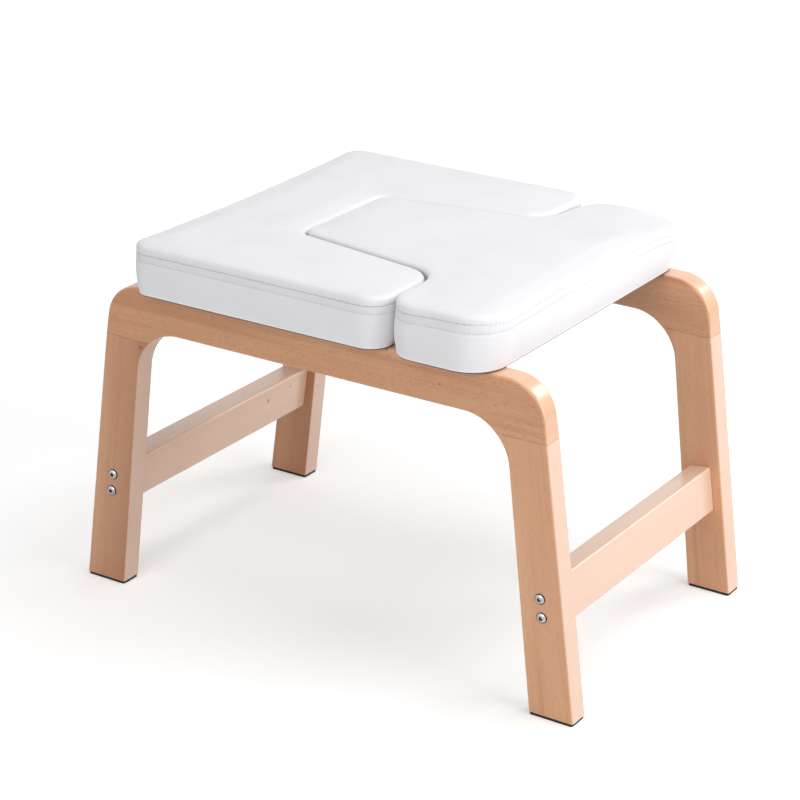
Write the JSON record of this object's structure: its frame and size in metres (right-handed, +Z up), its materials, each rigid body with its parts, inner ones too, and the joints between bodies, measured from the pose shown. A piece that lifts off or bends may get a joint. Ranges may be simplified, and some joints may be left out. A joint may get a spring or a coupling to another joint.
{
  "type": "yoga headstand stool",
  "caption": "Low arched beech bench with a U-shaped padded shoulder rest and a lift-out T-shaped head cushion, for supported headstands and sitting.",
  "frame": {"origin": "on the floor, under the middle of the frame", "axes": "+X along the rails towards the head end, where the U opens; +Y to the stool's left; +Z up"},
  "size_m": [0.6032, 0.405, 0.402],
  "materials": {
    "beech_rail": "clear semi-gloss varnish",
    "beech_leg": "clear semi-gloss varnish",
    "beech_plain": "bare",
    "plywood": "sanded, bare",
    "white_leather": "smooth white upholstery leather, satin",
    "cushion_foam": "open-cell foam, cut",
    "black_cloth": "non-woven, matte",
    "bolt_steel": "bright",
    "zinc_steel": "zinc plated",
    "foot_rubber": "matte"
  },
  "bodies": {
    "frame": {"right_top_rail": "beech_rail", "left_top_rail": "beech_rail", "right_front_leg": "beech_leg", "right_rear_leg": "beech_leg", "left_front_leg": "beech_leg", "left_rear_leg": "beech_leg", "right_front_tenon": "beech_plain", "right_rear_tenon": "beech_plain", "left_front_tenon": "beech_plain", "left_rear_tenon": "beech_plain", "right_front_foot": "foot_rubber", "right_rear_foot": "foot_rubber", "left_front_foot": "foot_rubber", "left_rear_foot": "foot_rubber", "front_stretcher": "beech_leg", "rear_stretcher": "beech_leg", "front_right_upper_bolt": "bolt_steel", "front_right_lower_bolt": "bolt_steel", "front_left_upper_bolt": "bolt_steel", "front_left_lower_bolt": "bolt_steel", "rear_right_upper_bolt": "bolt_steel", "rear_right_lower_bolt": "bolt_steel", "rear_left_upper_bolt": "bolt_steel", "rear_left_lower_bolt": "bolt_steel", "front_right_upper_sleeve": "zinc_steel", "front_right_lower_sleeve": "zinc_steel", "front_left_upper_sleeve": "zinc_steel", "front_left_lower_sleeve": "zinc_steel", "rear_right_upper_sleeve": "zinc_steel", "rear_right_lower_sleeve": "zinc_steel", "rear_left_upper_sleeve": "zinc_steel", "rear_left_lower_sleeve": "zinc_steel", "shoulder_board": "plywood", "shoulder_foam": "cushion_foam", "shoulder_cover": "white_leather", "shoulder_dust_cloth": "black_cloth", "right_front_pad_bolt": "zinc_steel", "right_rear_pad_bolt": "zinc_steel", "left_front_pad_bolt": "zinc_steel", "left_rear_pad_bolt": "zinc_steel", "right_front_tee_nut": "zinc_steel", "right_rear_tee_nut": "zinc_steel", "left_front_tee_nut": "zinc_steel", "left_rear_tee_nut": "zinc_steel", "support_ledge": "plywood", "right_ledge_screw": "zinc_steel", "middle_ledge_screw": "zinc_steel", "left_ledge_screw": "zinc_steel"},
    "head_pad": {"head_board": "plywood", "head_foam": "cushion_foam", "head_cover": "white_leather", "head_dust_cloth": "black_cloth", "right_front_locating_pin": "beech_plain", "right_rear_locating_pin": "beech_plain", "left_front_locating_pin": "beech_plain", "left_rear_locating_pin": "beech_plain"}
  },
  "joints": [
    {"name": "head_pad_lift", "type": "slide", "parent": "frame", "child": "head_pad", "axis": [0, 0, 1], "range_m": [0, 0.09]}
  ]
}
